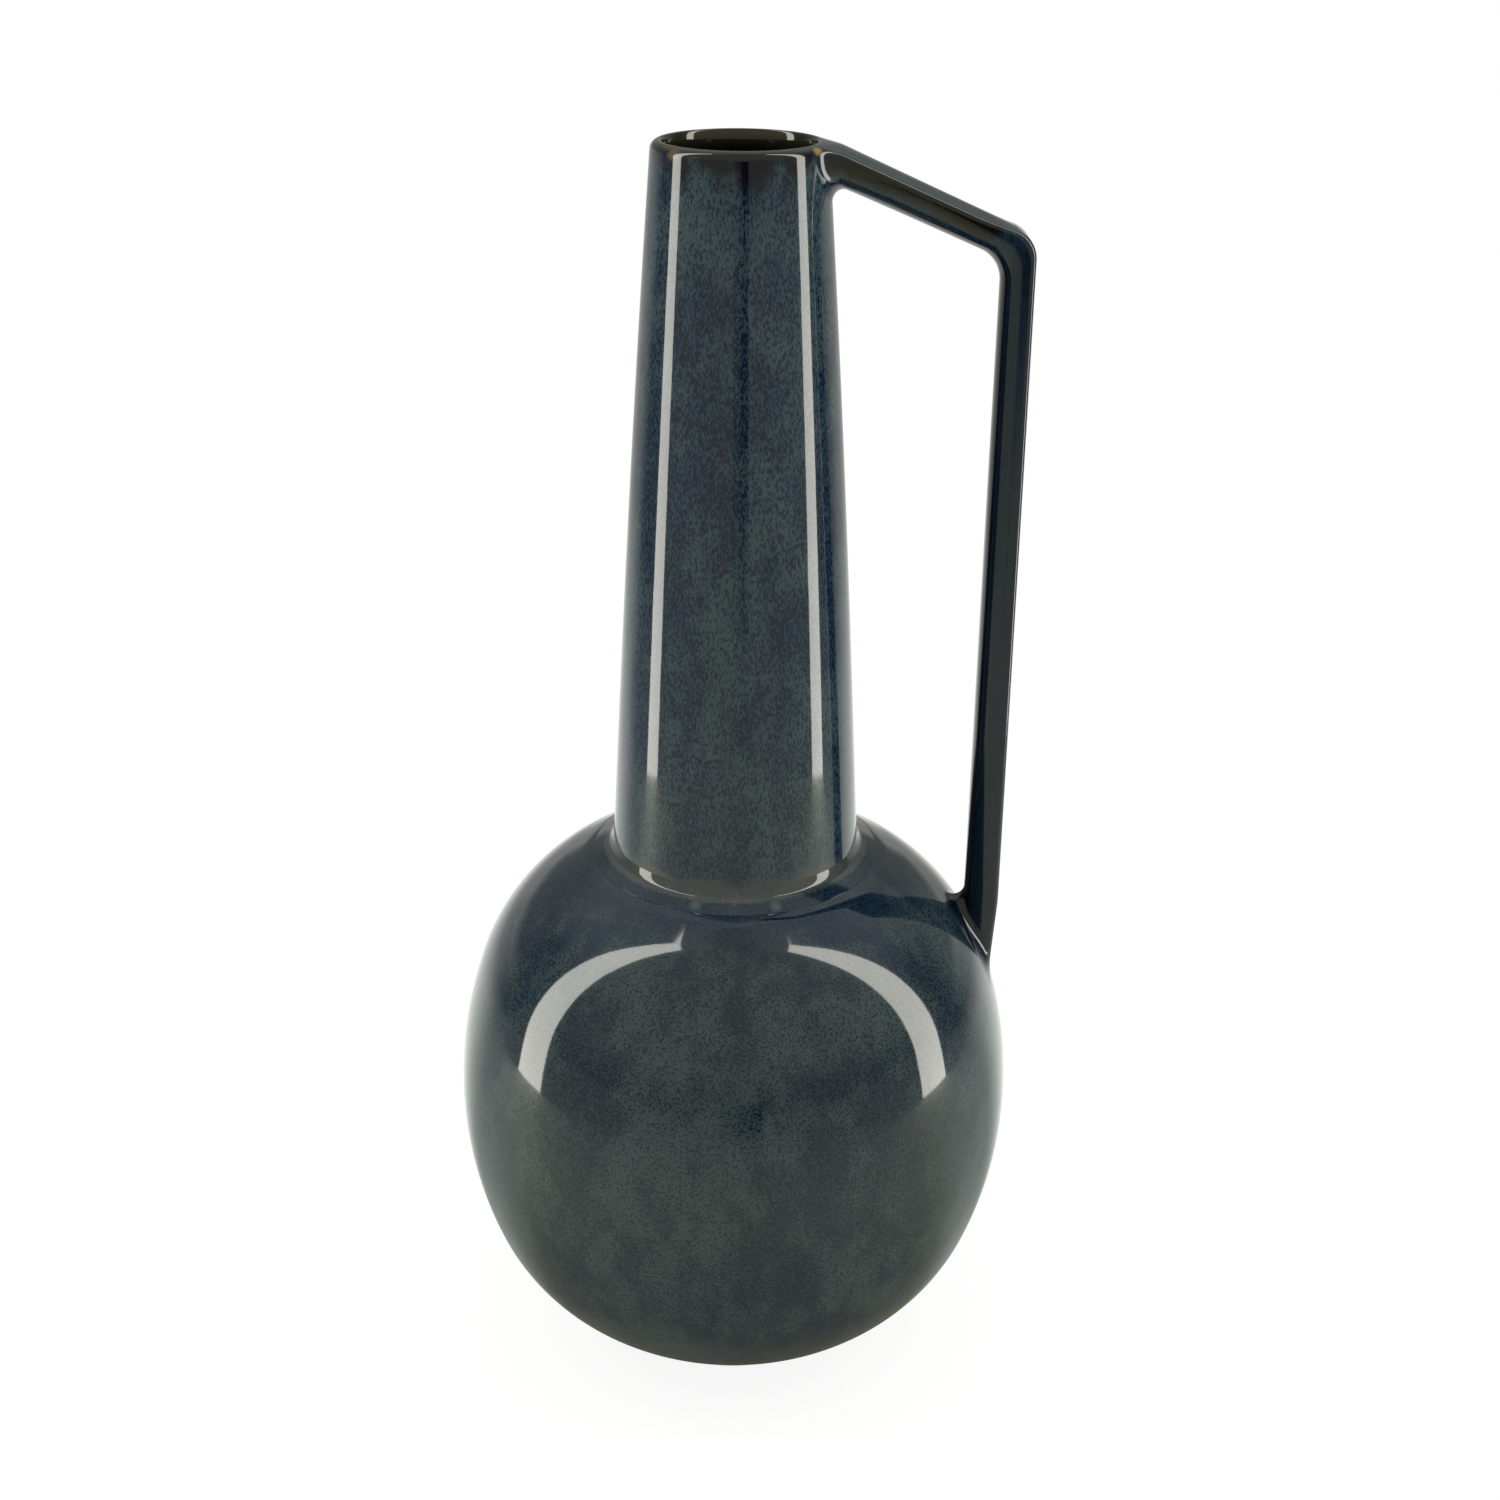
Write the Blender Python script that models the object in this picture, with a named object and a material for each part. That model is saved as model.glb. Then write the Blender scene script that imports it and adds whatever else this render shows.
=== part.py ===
"""Stoneware bottle vase: a hollow globe on a foot ring, a long tapering neck and one angular handle.

Seven pieces of clay, luted together with slip: the globe, the neck whose spigot drops into the
globe's collar, the foot ring, the bent handle, and the three fillets of slip that close the seams.
Metres, +Z up. The origin is the centre of the foot ring's underside, and the handle is at +X.
"""
import math

import bmesh
import bpy
from mathutils import Vector

# ---- Driving dimensions, in metres ----
MM = 0.001
JOINT_GAP = 0.35 * MM            # the slip line between two pieces of clay
SEGMENTS = 48                    # steps round the turned pieces
SIDE_STEPS = 9                   # steps along the neck's side, and along each arc of the globe
INSIDE_STEPS = 7                 # the same for the arcs inside the globe
LIP_STEPS = 4                    # steps over each rounding of the lip

RIM_HEIGHT = 463.5 * MM          # crest of the lip

# Globe: a flattened arc round the equator between two tighter arcs, all tangent, with a cone above
# that runs up to the collar.
GLOBE_RADIUS = 106.2 * MM
EQUATOR_HEIGHT = 107.4 * MM
EQUATOR_ARC = 153.6 * MM
EQUATOR_ANGLE = 20.0             # degrees of the equator's arc above and below the equator
SHOULDER_ARC = 77.0 * MM
SHOULDER_TILT = 58.8             # degrees from level to the cone's outward normal
BELLY_ARC = 75.0 * MM
GLOBE_WALL = 6.0 * MM
BASE_HEIGHT = 8.0 * MM           # flat underside of the globe, above the foot
FLOOR_THICKNESS = 7.5 * MM

# Neck: a slightly bellied cone with a rounded lip and a spigot.
NECK_TOP_RADIUS = 29.3 * MM
NECK_FOOT_RADIUS = 45.7 * MM
NECK_BELLY = 0.80 * MM           # how far the cone's side bulges from straight
LIP_WALL = 4.4 * MM
LIP_OUTER_ROUND = 3.0 * MM
LIP_INNER_ROUND = 0.9 * MM
BORE_FOOT_RADIUS = 38.0 * MM
SPIGOT_RADIUS = 41.4 * MM
SPIGOT_LENGTH = 10.5 * MM
COLLAR_HEIGHT = 207.6 * MM       # flat land on the globe that carries the neck
COLLAR_THICKNESS = 11.0 * MM     # depth of the thick ring of clay round the opening

# Foot ring.
FOOT_OUTER_RADIUS = 49.2 * MM
FOOT_INNER_RADIUS = 42.0 * MM
FOOT_TOP_RADIUS = 46.4 * MM
FOOT_BEVEL = 0.9 * MM

# Handle: the (x, z) corners of its outer and inner faces, with the radius that rounds each corner.
HANDLE_OUTER = [
    ((12.0 * MM, 462.6 * MM), 0.0),
    ((31.0 * MM, 463.2 * MM), 18.0 * MM),
    ((97.7 * MM, 434.0 * MM), 11.0 * MM),
    ((99.2 * MM, 188.0 * MM), 80.0 * MM),
    ((96.3 * MM, 140.0 * MM), 0.0),
]
HANDLE_INNER = [
    ((12.0 * MM, 450.2 * MM), 0.0),
    ((31.5 * MM, 450.0 * MM), 24.0 * MM),
    ((86.9 * MM, 426.4 * MM), 12.0 * MM),
    ((87.0 * MM, 188.0 * MM), 80.0 * MM),
    ((84.6 * MM, 140.0 * MM), 0.0),
]
HANDLE_HALF_WIDTH = 9.0 * MM
HANDLE_ROOT_FLARE = 3.0 * MM     # extra half-width where the top arm meets the neck
HANDLE_OUTER_EDGE = 2.2 * MM     # edge rounding on the outer face
HANDLE_INNER_EDGE = 6.5 * MM     # edge rounding on the inner face
EDGE_STEPS = 4                   # steps round each edge of the bar
FLAT_STEPS = (2, 4)              # steps across its sides, and across its two faces
HANDLE_STEPS = (5, 4, 6, 8, 12, 3, 4)  # sections along each line and each bend, in turn

# Seam: a raised band of slip. It leaves the neck in a hollow, runs down in a straight slope to a
# soft edge, and steps down to the globe. Slopes are in degrees below level.
SEAM_TOP = 213.7 * MM
SEAM_TOP_SLOPE = 70.0
SEAM_BROW = (48.5 * MM, 210.15 * MM)
SEAM_EDGE = (50.0 * MM, 209.2 * MM)
SEAM_SLOPE = 32.0
SEAM_TOE = 52.4 * MM             # radius of the step's foot
SEAM_TOP_PULL = 0.9 * MM         # how long each curve follows its end's direction
SEAM_BROW_PULL = 1.5 * MM
SEAM_EDGE_PULL = 0.9 * MM
SEAM_TOE_PULL = 1.0 * MM

# Slip fillets of the handle: how far each one reaches along the walls it joins.
ROOT_REACH = 5.0 * MM
ROOT_ROUND = 4.5 * MM
FOOT_END_REACH = 7.0 * MM
FOOT_END_ROUND = 4.0 * MM

FEATHER_EDGE = 0.3 * MM          # thickness that the slip thins out to
SEAM_STEPS = 4                   # steps over each curve of the seam
FILLET_STEPS = 4                 # steps over the hollow curve of a handle's fillet
BASE_STEPS = 3                   # steps along the surface under it
EDGE_MARGIN = 0.97               # share of the surface's remaining length that slip may cover
BISECTIONS = 30                  # halvings of the search for the point where a line leaves a surface

# Finish of each piece: colour, roughness and metallic value.
GLAZE = ((0.045, 0.075, 0.085), 0.12, 0.0)
DARK_GLAZE = ((0.018, 0.025, 0.04), 0.12, 0.0)
BREAK_GLAZE = ((0.10, 0.085, 0.06), 0.15, 0.0)
BARE_CLAY = ((0.38, 0.30, 0.22), 0.85, 0.0)


# ---- Outlines ----
def arc(centre, radius, start, end, steps):
    """Points of a circular arc in the (r, z) plane, angles in degrees from +r."""
    points = []
    for i in range(steps + 1):
        angle = math.radians(start + (end - start) * i / steps)
        points.append((centre[0] + radius * math.cos(angle), centre[1] + radius * math.sin(angle)))
    return points


def end_arc(radius, offset, sign):
    """Centre and radius of the shoulder's (sign 1) or belly's (sign -1) arc, moved out by offset."""
    angle = math.radians(EQUATOR_ANGLE)
    reach = EQUATOR_ARC - radius
    centre_r = GLOBE_RADIUS - EQUATOR_ARC + reach * math.cos(angle)
    centre_z = EQUATOR_HEIGHT + sign * reach * math.sin(angle)
    return (centre_r, centre_z), radius + offset


def shoulder_radius(offset, z):
    """Radius, at height z, of the cone that carries the shoulder's arc on up to the collar."""
    centre, radius = end_arc(SHOULDER_ARC, offset, 1)
    tilt = math.radians(SHOULDER_TILT)
    rise = z - centre[1] - radius * math.sin(tilt)
    return centre[0] + radius * math.cos(tilt) - rise * math.tan(tilt)


def shoulder_height(offset, r):
    """Height of the same cone at radius r."""
    centre, radius = end_arc(SHOULDER_ARC, offset, 1)
    tilt = math.radians(SHOULDER_TILT)
    reach = centre[0] + radius * math.cos(tilt) - r
    return centre[1] + radius * math.sin(tilt) + reach / math.tan(tilt)


def globe_side(offset, top, bottom, steps):
    """The globe's side from height top down to height bottom, moved out by offset."""
    upper, upper_radius = end_arc(SHOULDER_ARC, offset, 1)
    lower, lower_radius = end_arc(BELLY_ARC, offset, -1)
    end = math.degrees(math.asin((bottom - lower[1]) / lower_radius))
    middle = (GLOBE_RADIUS - EQUATOR_ARC, EQUATOR_HEIGHT)
    side = [(shoulder_radius(offset, top), top)]
    side += arc(upper, upper_radius, SHOULDER_TILT, EQUATOR_ANGLE, steps)
    side += arc(middle, EQUATOR_ARC + offset, EQUATOR_ANGLE, -EQUATOR_ANGLE, steps // 2)[1:]
    side += arc(lower, lower_radius, -EQUATOR_ANGLE, end, steps)[1:]
    return side


def neck_foot_height():
    """Height of the neck's shoulder, one slip line above the globe's collar."""
    return COLLAR_HEIGHT + JOINT_GAP


def neck_radius(t):
    """Outer radius of the neck's bellied cone, with t from 0 at its foot to 1 below the lip."""
    radius = NECK_FOOT_RADIUS + (NECK_TOP_RADIUS - NECK_FOOT_RADIUS) * t
    return radius + 4.0 * NECK_BELLY * t * (1.0 - t)


def neck_side(offset, steps):
    """The neck's side, from the foot up to the start of the lip, moved out by offset."""
    foot = neck_foot_height()
    rise = RIM_HEIGHT - LIP_OUTER_ROUND - foot
    return [(neck_radius(i / steps) + offset, foot + rise * i / steps) for i in range(steps + 1)]


def lip_outside(steps):
    """The lip's outer rounding, from the neck's side over to the crest."""
    centre = (NECK_TOP_RADIUS - LIP_OUTER_ROUND, RIM_HEIGHT - LIP_OUTER_ROUND)
    return arc(centre, LIP_OUTER_ROUND, 0.0, 90.0, steps)


def lip_inside(steps):
    """The lip's inner rounding, from the crest down into the mouth."""
    centre = (NECK_TOP_RADIUS - LIP_WALL + LIP_INNER_ROUND, RIM_HEIGHT - LIP_INNER_ROUND)
    return arc(centre, LIP_INNER_ROUND, 90.0, 180.0, steps)


def curve(start, start_slope, start_pull, end, end_slope, end_pull):
    """Cubic curve outwards and down the (r, z) plane, leaving and arriving at the given slopes."""
    leave, arrive = math.radians(start_slope), math.radians(end_slope)
    first = Vector(start)
    second = first + Vector((math.cos(leave), -math.sin(leave))) * start_pull
    fourth = Vector(end)
    third = fourth - Vector((math.cos(arrive), -math.sin(arrive))) * end_pull
    points = []
    for k in range(SEAM_STEPS + 1):
        t = k / SEAM_STEPS
        weights = [(1 - t) ** 3, 3 * t * (1 - t) ** 2, 3 * t * t * (1 - t), t ** 3]
        points.append(first * weights[0] + second * weights[1] + third * weights[2]
                      + fourth * weights[3])
    return points


class Outline:
    """A turned surface's outline, measured by its length, for walks over the surface."""

    def __init__(self, points):
        self.points = [Vector(p) for p in points]
        self.at = [0.0]
        for a, b in zip(self.points, self.points[1:]):
            self.at.append(self.at[-1] + (b - a).length)

    def place(self, s):
        """Point (r, z), outward normal and direction of the outline at length s."""
        i = 0
        while i < len(self.at) - 2 and self.at[i + 1] < s:
            i += 1
        a, b = self.points[i], self.points[i + 1]
        along = (b - a).normalized()
        point = a + along * (s - self.at[i])
        return point, Vector((-along.y, along.x)) * self.side(), along

    def side(self):
        """1 where the outline runs downwards outside the solid, and -1 where it runs upwards."""
        return 1.0 if self.points[-1].y < self.points[0].y else -1.0

    def nearest(self, r, z):
        """Signed distance outside the outline, and the length s of its nearest point."""
        best = (1e9, 0.0, 0.0)
        target = Vector((r, z))
        for i in range(len(self.points) - 1):
            a, b = self.points[i], self.points[i + 1]
            edge = b - a
            t = min(1.0, max(0.0, (target - a).dot(edge) / edge.length_squared))
            gap = target - (a + edge * t)
            if gap.length < best[0]:
                outward = Vector((-edge.y, edge.x)).normalized() * self.side()
                best = (gap.length, math.copysign(gap.length, gap.dot(outward)),
                        self.at[i] + edge.length * t)
        return best[1], best[2]


def rounded_line(corners, steps):
    """A line through the corners, each rounded by its own radius, with steps points per stretch."""
    points = [Vector(corners[0][0])]
    start = points[0]
    for i in range(1, len(corners) - 1):
        here, radius = Vector(corners[i][0]), corners[i][1]
        back = (Vector(corners[i - 1][0]) - here).normalized()
        ahead = (Vector(corners[i + 1][0]) - here).normalized()
        half = back.angle(ahead) / 2.0
        first = here + back * radius / math.tan(half)
        last = here + ahead * radius / math.tan(half)
        centre = here + (back + ahead).normalized() * radius / math.sin(half)
        count = steps[2 * i - 2]
        points += [start.lerp(first, (k + 1) / count) for k in range(count)]
        count = steps[2 * i - 1]
        for k in range(count):
            spoke = (first - centre).lerp(last - centre, 0.5).normalized()
            angle = (k + 1) / count * 2.0 - 1.0
            side = (last - first).normalized()
            swing = (math.pi / 2.0 - half) * angle
            points.append(centre + radius * (spoke * math.cos(swing) + side * math.sin(swing)))
        start = last
    end = Vector(corners[-1][0])
    count = steps[-1]
    points += [start.lerp(end, (k + 1) / count) for k in range(count)]
    return points


# ---- Mesh helpers ----
def material(name, finish):
    """A Principled material of one colour, roughness and metallic value."""
    colour, roughness, metallic = finish
    made = bpy.data.materials.new(name)
    made.use_nodes = True
    shader = made.node_tree.nodes["Principled BSDF"]
    shader.inputs["Base Color"].default_value = (*colour, 1.0)
    shader.inputs["Roughness"].default_value = roughness
    shader.inputs["Metallic"].default_value = metallic
    made.diffuse_color = (*colour, 1.0)
    return made


def add_object(name, mesh_source, finish):
    """Turns a bmesh into a named object with its own material, shaded smooth."""
    bmesh.ops.recalc_face_normals(mesh_source, faces=mesh_source.faces)
    mesh = bpy.data.meshes.new(name)
    mesh_source.to_mesh(mesh)
    mesh_source.free()
    mesh.shade_smooth()
    mesh.set_sharp_from_angle(angle=math.radians(35.0))
    made = bpy.data.objects.new(name, mesh)
    bpy.context.scene.collection.objects.link(made)
    made.data.materials.append(material(name, finish))
    return made


def turned(name, outline, finish, closed):
    """Spins an outline of (r, z) points once round the Z axis."""
    bm = bmesh.new()
    verts = [bm.verts.new((r, 0.0, z)) for r, z in outline]
    edges = [bm.edges.new(pair) for pair in zip(verts, verts[1:])]
    if closed:
        edges.append(bm.edges.new((verts[-1], verts[0])))
    bmesh.ops.spin(bm, geom=verts + edges, cent=(0.0, 0.0, 0.0), axis=(0.0, 0.0, 1.0),
                   angle=2.0 * math.pi, steps=SEGMENTS, use_merge=True)
    bmesh.ops.remove_doubles(bm, verts=bm.verts, dist=0.001 * MM)
    return add_object(name, bm, finish)


def lofted(name, loops, finish, ring):
    """Joins closed loops of points one to the next: into a ring, or with a cap at each end."""
    bm = bmesh.new()
    rows = [[bm.verts.new(point) for point in loop] for loop in loops]
    count = len(rows[0])
    pairs = list(zip(rows, rows[1:]))
    if ring:
        pairs.append((rows[-1], rows[0]))
    for low, high in pairs:
        for k in range(count):
            after = (k + 1) % count
            bm.faces.new((low[k], low[after], high[after], high[k]))
    if not ring:
        bm.faces.new(rows[0])
        bm.faces.new(rows[-1])
    return add_object(name, bm, finish)


# ---- Handle bar ----
def bar_section(inner, outer, half_width, grow):
    """One closed section of the bar: points with their outward normals, grown by grow."""
    across = Vector((outer.x - inner.x, 0.0, outer.y - inner.y))
    half_thickness = across.length / 2.0
    across.normalize()
    middle = Vector(((outer.x + inner.x) / 2.0, 0.0, (outer.y + inner.y) / 2.0))
    corners = [(1, 1, HANDLE_OUTER_EDGE), (-1, 1, HANDLE_INNER_EDGE),
               (-1, -1, HANDLE_INNER_EDGE), (1, -1, HANDLE_OUTER_EDGE)]
    rounds = []
    for index, (side, face, edge) in enumerate(corners):
        centre = middle + across * side * (half_thickness - edge)
        centre.y = face * (half_width - edge)
        for k in range(EDGE_STEPS + 1):
            angle = math.radians(90.0 * (index + k / EDGE_STEPS))
            normal = across * math.cos(angle) + Vector((0.0, math.sin(angle), 0.0))
            rounds.append((centre + normal * (edge + grow), normal))
    loop = []
    for index in range(4):
        turn = rounds[index * (EDGE_STEPS + 1):(index + 1) * (EDGE_STEPS + 1)]
        following = rounds[(index + 1) * (EDGE_STEPS + 1) % len(rounds)][0]
        last, normal = turn[-1]
        steps = FLAT_STEPS[index % 2]
        loop += turn
        loop += [(last.lerp(following, k / steps), normal) for k in range(1, steps)]
    return loop


def bar_sections(grow):
    """All sections of the bar, from inside the neck to inside the globe."""
    outer = rounded_line(HANDLE_OUTER, HANDLE_STEPS)
    inner = rounded_line(HANDLE_INNER, HANDLE_STEPS)
    elbow = HANDLE_OUTER[2][0][0]
    sections = []
    for a, b in zip(inner, outer):
        towards_neck = min(1.0, max(0.0, (elbow - b.x) / (elbow - NECK_TOP_RADIUS)))
        half_width = HANDLE_HALF_WIDTH + HANDLE_ROOT_FLARE * towards_neck ** 3
        sections.append(bar_section(a, b, half_width, grow))
    return sections


# ---- Slip fillets ----
def landing(surface, line):
    """Index in a lengthwise line of the bar, and the point, where it comes out of the surface."""
    def outside(point):
        return surface.nearest(math.hypot(point.x, point.y), point.z)[0] > JOINT_GAP

    index = 1
    while not outside(line[index]):
        index += 1
    a, b = line[index - 1], line[index]
    for _ in range(BISECTIONS):
        middle = (a + b) / 2.0
        if outside(middle):
            b = middle
        else:
            a = middle
    return index, b


def along_line(line, index, start, distance):
    """Point and direction at a distance along the line, from start, which comes before index."""
    while distance > (line[index] - start).length:
        distance -= (line[index] - start).length
        start = line[index]
        index += 1
    direction = (line[index] - start).normalized()
    return start + direction * distance, direction


def on_surface(surface, turn, s):
    """Point, normal, round-the-axis direction and outline direction, one slip line off the surface."""
    place, normal, along = surface.place(s)
    place = place + normal * JOINT_GAP
    radial = Vector((math.cos(turn), math.sin(turn), 0.0))
    point = radial * place.x + Vector((0.0, 0.0, place.y))
    outward = radial * normal.x + Vector((0.0, 0.0, normal.y))
    upward = radial * along.x + Vector((0.0, 0.0, along.y))
    return point, outward, Vector((-radial.y, radial.x, 0.0)), upward


def fillet_loop(surface, line, section_normal, reach, rounding):
    """One cross-section of slip: up the wall, over the hollow curve and back along the surface."""
    index, corner = landing(surface, line)
    wall = along_line(line, index, corner, 0.1 * MM)[1]
    turn = math.atan2(corner.y, corner.x)
    radius = math.hypot(corner.x, corner.y)
    s = surface.nearest(radius, corner.z)[1]
    _, outward, around, along = on_surface(surface, turn, s)
    away = (section_normal - outward * section_normal.dot(outward)).normalized()
    half = wall.angle(away) / 2.0
    length = max(reach, rounding / math.tan(half))
    swing = 4.0 / 3.0 * math.tan((math.pi - 2.0 * half) / 4.0) * math.tan(half)
    spread = length
    if away.dot(along) > 0.01:
        spread = min(length, EDGE_MARGIN * (surface.at[-1] - s) / away.dot(along))

    def walk(distance):
        shift = away.dot(around) * distance / radius
        return on_surface(surface, turn + shift, s + away.dot(along) * distance)

    wall_edge, start_wall = along_line(line, index, corner, length)
    start = wall_edge + section_normal * FEATHER_EDGE
    end, end_normal, around_end, along_end = walk(spread)
    end = end + end_normal * FEATHER_EDGE
    end_away = (around_end * away.dot(around) + along_end * away.dot(along)).normalized()
    controls = [start, start - start_wall * swing * length, end - end_away * swing * spread, end]
    loop = [wall_edge]
    for k in range(FILLET_STEPS + 1):
        t = k / FILLET_STEPS
        weights = [(1 - t) ** 3, 3 * t * (1 - t) ** 2, 3 * t * t * (1 - t), t ** 3]
        loop.append(sum((c * w for c, w in zip(controls, weights)), Vector()))
    loop += [walk(spread * k / BASE_STEPS)[0] for k in range(BASE_STEPS, -1, -1)]
    return loop


def slip_fillet(name, surface, sections, reach, rounding, finish):
    """A ring of slip round the bar where it stands on a turned surface."""
    loops = []
    for k in range(len(sections[0])):
        line = [section[k][0] for section in sections]
        section_normal = sections[landing(surface, line)[0]][k][1]
        loops.append(fillet_loop(surface, line, section_normal, reach, rounding))
    return lofted(name, loops, finish, ring=True)


# ---- The pieces ----
def make_globe():
    """Hollow globe with a flat base and a thick collar round its opening."""
    outside = globe_side(0.0, COLLAR_HEIGHT, BASE_HEIGHT, SIDE_STEPS)
    floor = BASE_HEIGHT + FLOOR_THICKNESS
    under_collar = COLLAR_HEIGHT - COLLAR_THICKNESS
    inside = globe_side(-GLOBE_WALL, under_collar, floor, INSIDE_STEPS)
    bore = SPIGOT_RADIUS + JOINT_GAP
    outline = [(0.0, floor)] + inside[::-1]
    outline += [(bore, under_collar), (bore, COLLAR_HEIGHT)]
    outline += outside + [(0.0, BASE_HEIGHT)]
    return turned("globe_body", outline, GLAZE, closed=False)


def make_neck():
    """Tapering neck with a rounded lip, a shoulder on the collar and a spigot inside it."""
    foot = neck_foot_height()
    spigot_end = foot - SPIGOT_LENGTH
    outline = [(SPIGOT_RADIUS, spigot_end), (SPIGOT_RADIUS, foot)]
    outline += neck_side(0.0, SIDE_STEPS)
    outline += lip_outside(LIP_STEPS)[1:]
    outline += lip_inside(LIP_STEPS)[1:]
    outline += [(BORE_FOOT_RADIUS, foot), (BORE_FOOT_RADIUS, spigot_end)]
    return turned("neck", outline, GLAZE, closed=True)


def make_foot():
    """Turned foot ring under the globe's flat base."""
    top = BASE_HEIGHT - JOINT_GAP
    outline = [
        (FOOT_INNER_RADIUS, top),
        (FOOT_TOP_RADIUS, top),
        (FOOT_OUTER_RADIUS, FOOT_BEVEL),
        (FOOT_OUTER_RADIUS - FOOT_BEVEL, 0.0),
        (FOOT_INNER_RADIUS + FOOT_BEVEL, 0.0),
        (FOOT_INNER_RADIUS, FOOT_BEVEL),
    ]
    return turned("foot_ring", outline, BARE_CLAY, closed=True)


def make_seam():
    """Raised band of slip round the neck's foot, lying on the collar and on the globe's shoulder."""
    foot = neck_foot_height()
    rise = (SEAM_TOP - foot) / (RIM_HEIGHT - LIP_OUTER_ROUND - foot)
    top = (neck_radius(rise) + JOINT_GAP, SEAM_TOP)
    toe = (SEAM_TOE, shoulder_height(JOINT_GAP + FEATHER_EDGE, SEAM_TOE))
    outline = [(NECK_FOOT_RADIUS + JOINT_GAP, COLLAR_HEIGHT + JOINT_GAP)]
    outline += curve(top, SEAM_TOP_SLOPE, SEAM_TOP_PULL, SEAM_BROW, SEAM_SLOPE, SEAM_BROW_PULL)
    outline += curve(SEAM_EDGE, SEAM_SLOPE, SEAM_EDGE_PULL, toe, 90.0 - SHOULDER_TILT, SEAM_TOE_PULL)
    outline += [(SEAM_TOE, shoulder_height(JOINT_GAP, SEAM_TOE)),
                (shoulder_radius(JOINT_GAP, COLLAR_HEIGHT + JOINT_GAP), COLLAR_HEIGHT + JOINT_GAP)]
    return turned("neck_seam_fillet", outline, BREAK_GLAZE, closed=True)


def solid_cutter(name, outline):
    """A solid turned from an outline that starts and ends on the axis, only for cutting."""
    cutter = turned(name, outline, DARK_GLAZE, closed=False)
    cutter.hide_render = True
    cutter.display_type = "WIRE"
    return cutter


def make_handle():
    """Bent bar, cut to sit one slip line clear of the neck and of the globe."""
    loops = [[point for point, _ in section] for section in bar_sections(0.0)]
    handle = lofted("handle", loops, DARK_GLAZE, ring=False)
    above_rim = RIM_HEIGHT + 2.0 * LIP_OUTER_ROUND
    side = neck_side(JOINT_GAP, SIDE_STEPS)
    neck_outline = [(0.0, side[0][1])] + side + [(side[-1][0], above_rim), (0.0, above_rim)]
    globe_outline = globe_side(JOINT_GAP, COLLAR_HEIGHT, BASE_HEIGHT, SIDE_STEPS)
    globe_outline = [(0.0, COLLAR_HEIGHT)] + globe_outline + [(0.0, BASE_HEIGHT)]
    for name, outline in (("neck_cutter", neck_outline), ("globe_cutter", globe_outline)):
        modifier = handle.modifiers.new(name, "BOOLEAN")
        modifier.operation = "DIFFERENCE"
        modifier.object = solid_cutter(name, outline)
    return handle


def make_handle_fillets():
    """Rings of slip at the handle's two ends."""
    sections = bar_sections(JOINT_GAP)
    neck = Outline(neck_side(0.0, SIDE_STEPS) + lip_outside(LIP_STEPS)[1:])
    slip_fillet("handle_upper_fillet", neck, sections, ROOT_REACH, ROOT_ROUND, BREAK_GLAZE)
    globe = Outline(globe_side(0.0, COLLAR_HEIGHT, BASE_HEIGHT, 2 * SIDE_STEPS))
    slip_fillet("handle_lower_fillet", globe, sections[::-1], FOOT_END_REACH, FOOT_END_ROUND,
                DARK_GLAZE)


def main():
    for leftover in list(bpy.data.objects):
        bpy.data.objects.remove(leftover)
    make_globe()
    make_neck()
    make_foot()
    make_seam()
    make_handle()
    make_handle_fillets()


main()
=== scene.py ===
"""Glazed stoneware bottle vase: fine clay surfaces, reactive glaze and a pale studio.

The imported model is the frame. Each of its seven pieces is replaced by a finer one of nearly the
same size, and the arm of the finer handle is crowned on top.
Metres, +Z up. The origin is the centre of the foot ring's underside, and the handle is at +X.
"""
import math

import bmesh
import bpy
from mathutils import Matrix, Vector


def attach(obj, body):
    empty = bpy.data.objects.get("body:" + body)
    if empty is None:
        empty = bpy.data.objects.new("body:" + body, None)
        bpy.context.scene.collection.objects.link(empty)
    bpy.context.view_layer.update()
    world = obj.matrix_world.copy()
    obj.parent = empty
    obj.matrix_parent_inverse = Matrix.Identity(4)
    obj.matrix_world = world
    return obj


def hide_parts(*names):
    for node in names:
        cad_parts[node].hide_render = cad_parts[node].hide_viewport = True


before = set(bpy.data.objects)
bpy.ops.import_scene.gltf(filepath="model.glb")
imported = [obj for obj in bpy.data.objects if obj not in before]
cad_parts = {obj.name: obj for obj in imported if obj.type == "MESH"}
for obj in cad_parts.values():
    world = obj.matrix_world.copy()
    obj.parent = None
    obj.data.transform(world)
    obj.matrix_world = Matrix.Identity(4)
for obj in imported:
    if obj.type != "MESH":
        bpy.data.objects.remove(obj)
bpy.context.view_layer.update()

# ---- Dimensions of the clay, in metres ----
MM = 0.001
GAP = 0.05 * MM                  # hidden slip line between pieces
ROUND = 192                      # steps round the turned pieces
RIM_HEIGHT = 463.5 * MM

# Globe: a flattened arc round the equator between two tighter arcs, with a cone up to the collar.
GLOBE_RADIUS = 106.2 * MM
EQUATOR_HEIGHT = 107.4 * MM
EQUATOR_ARC = 153.6 * MM
EQUATOR_ANGLE = 20.0             # degrees of the equator's arc above and below the equator
SHOULDER_ARC = 77.0 * MM
SHOULDER_TILT = 58.8             # degrees from level to the cone's outward normal
BELLY_ARC = 75.0 * MM
GLOBE_WALL = 6.0 * MM
BASE_HEIGHT = 8.0 * MM
FLOOR_THICKNESS = 7.5 * MM

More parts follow.
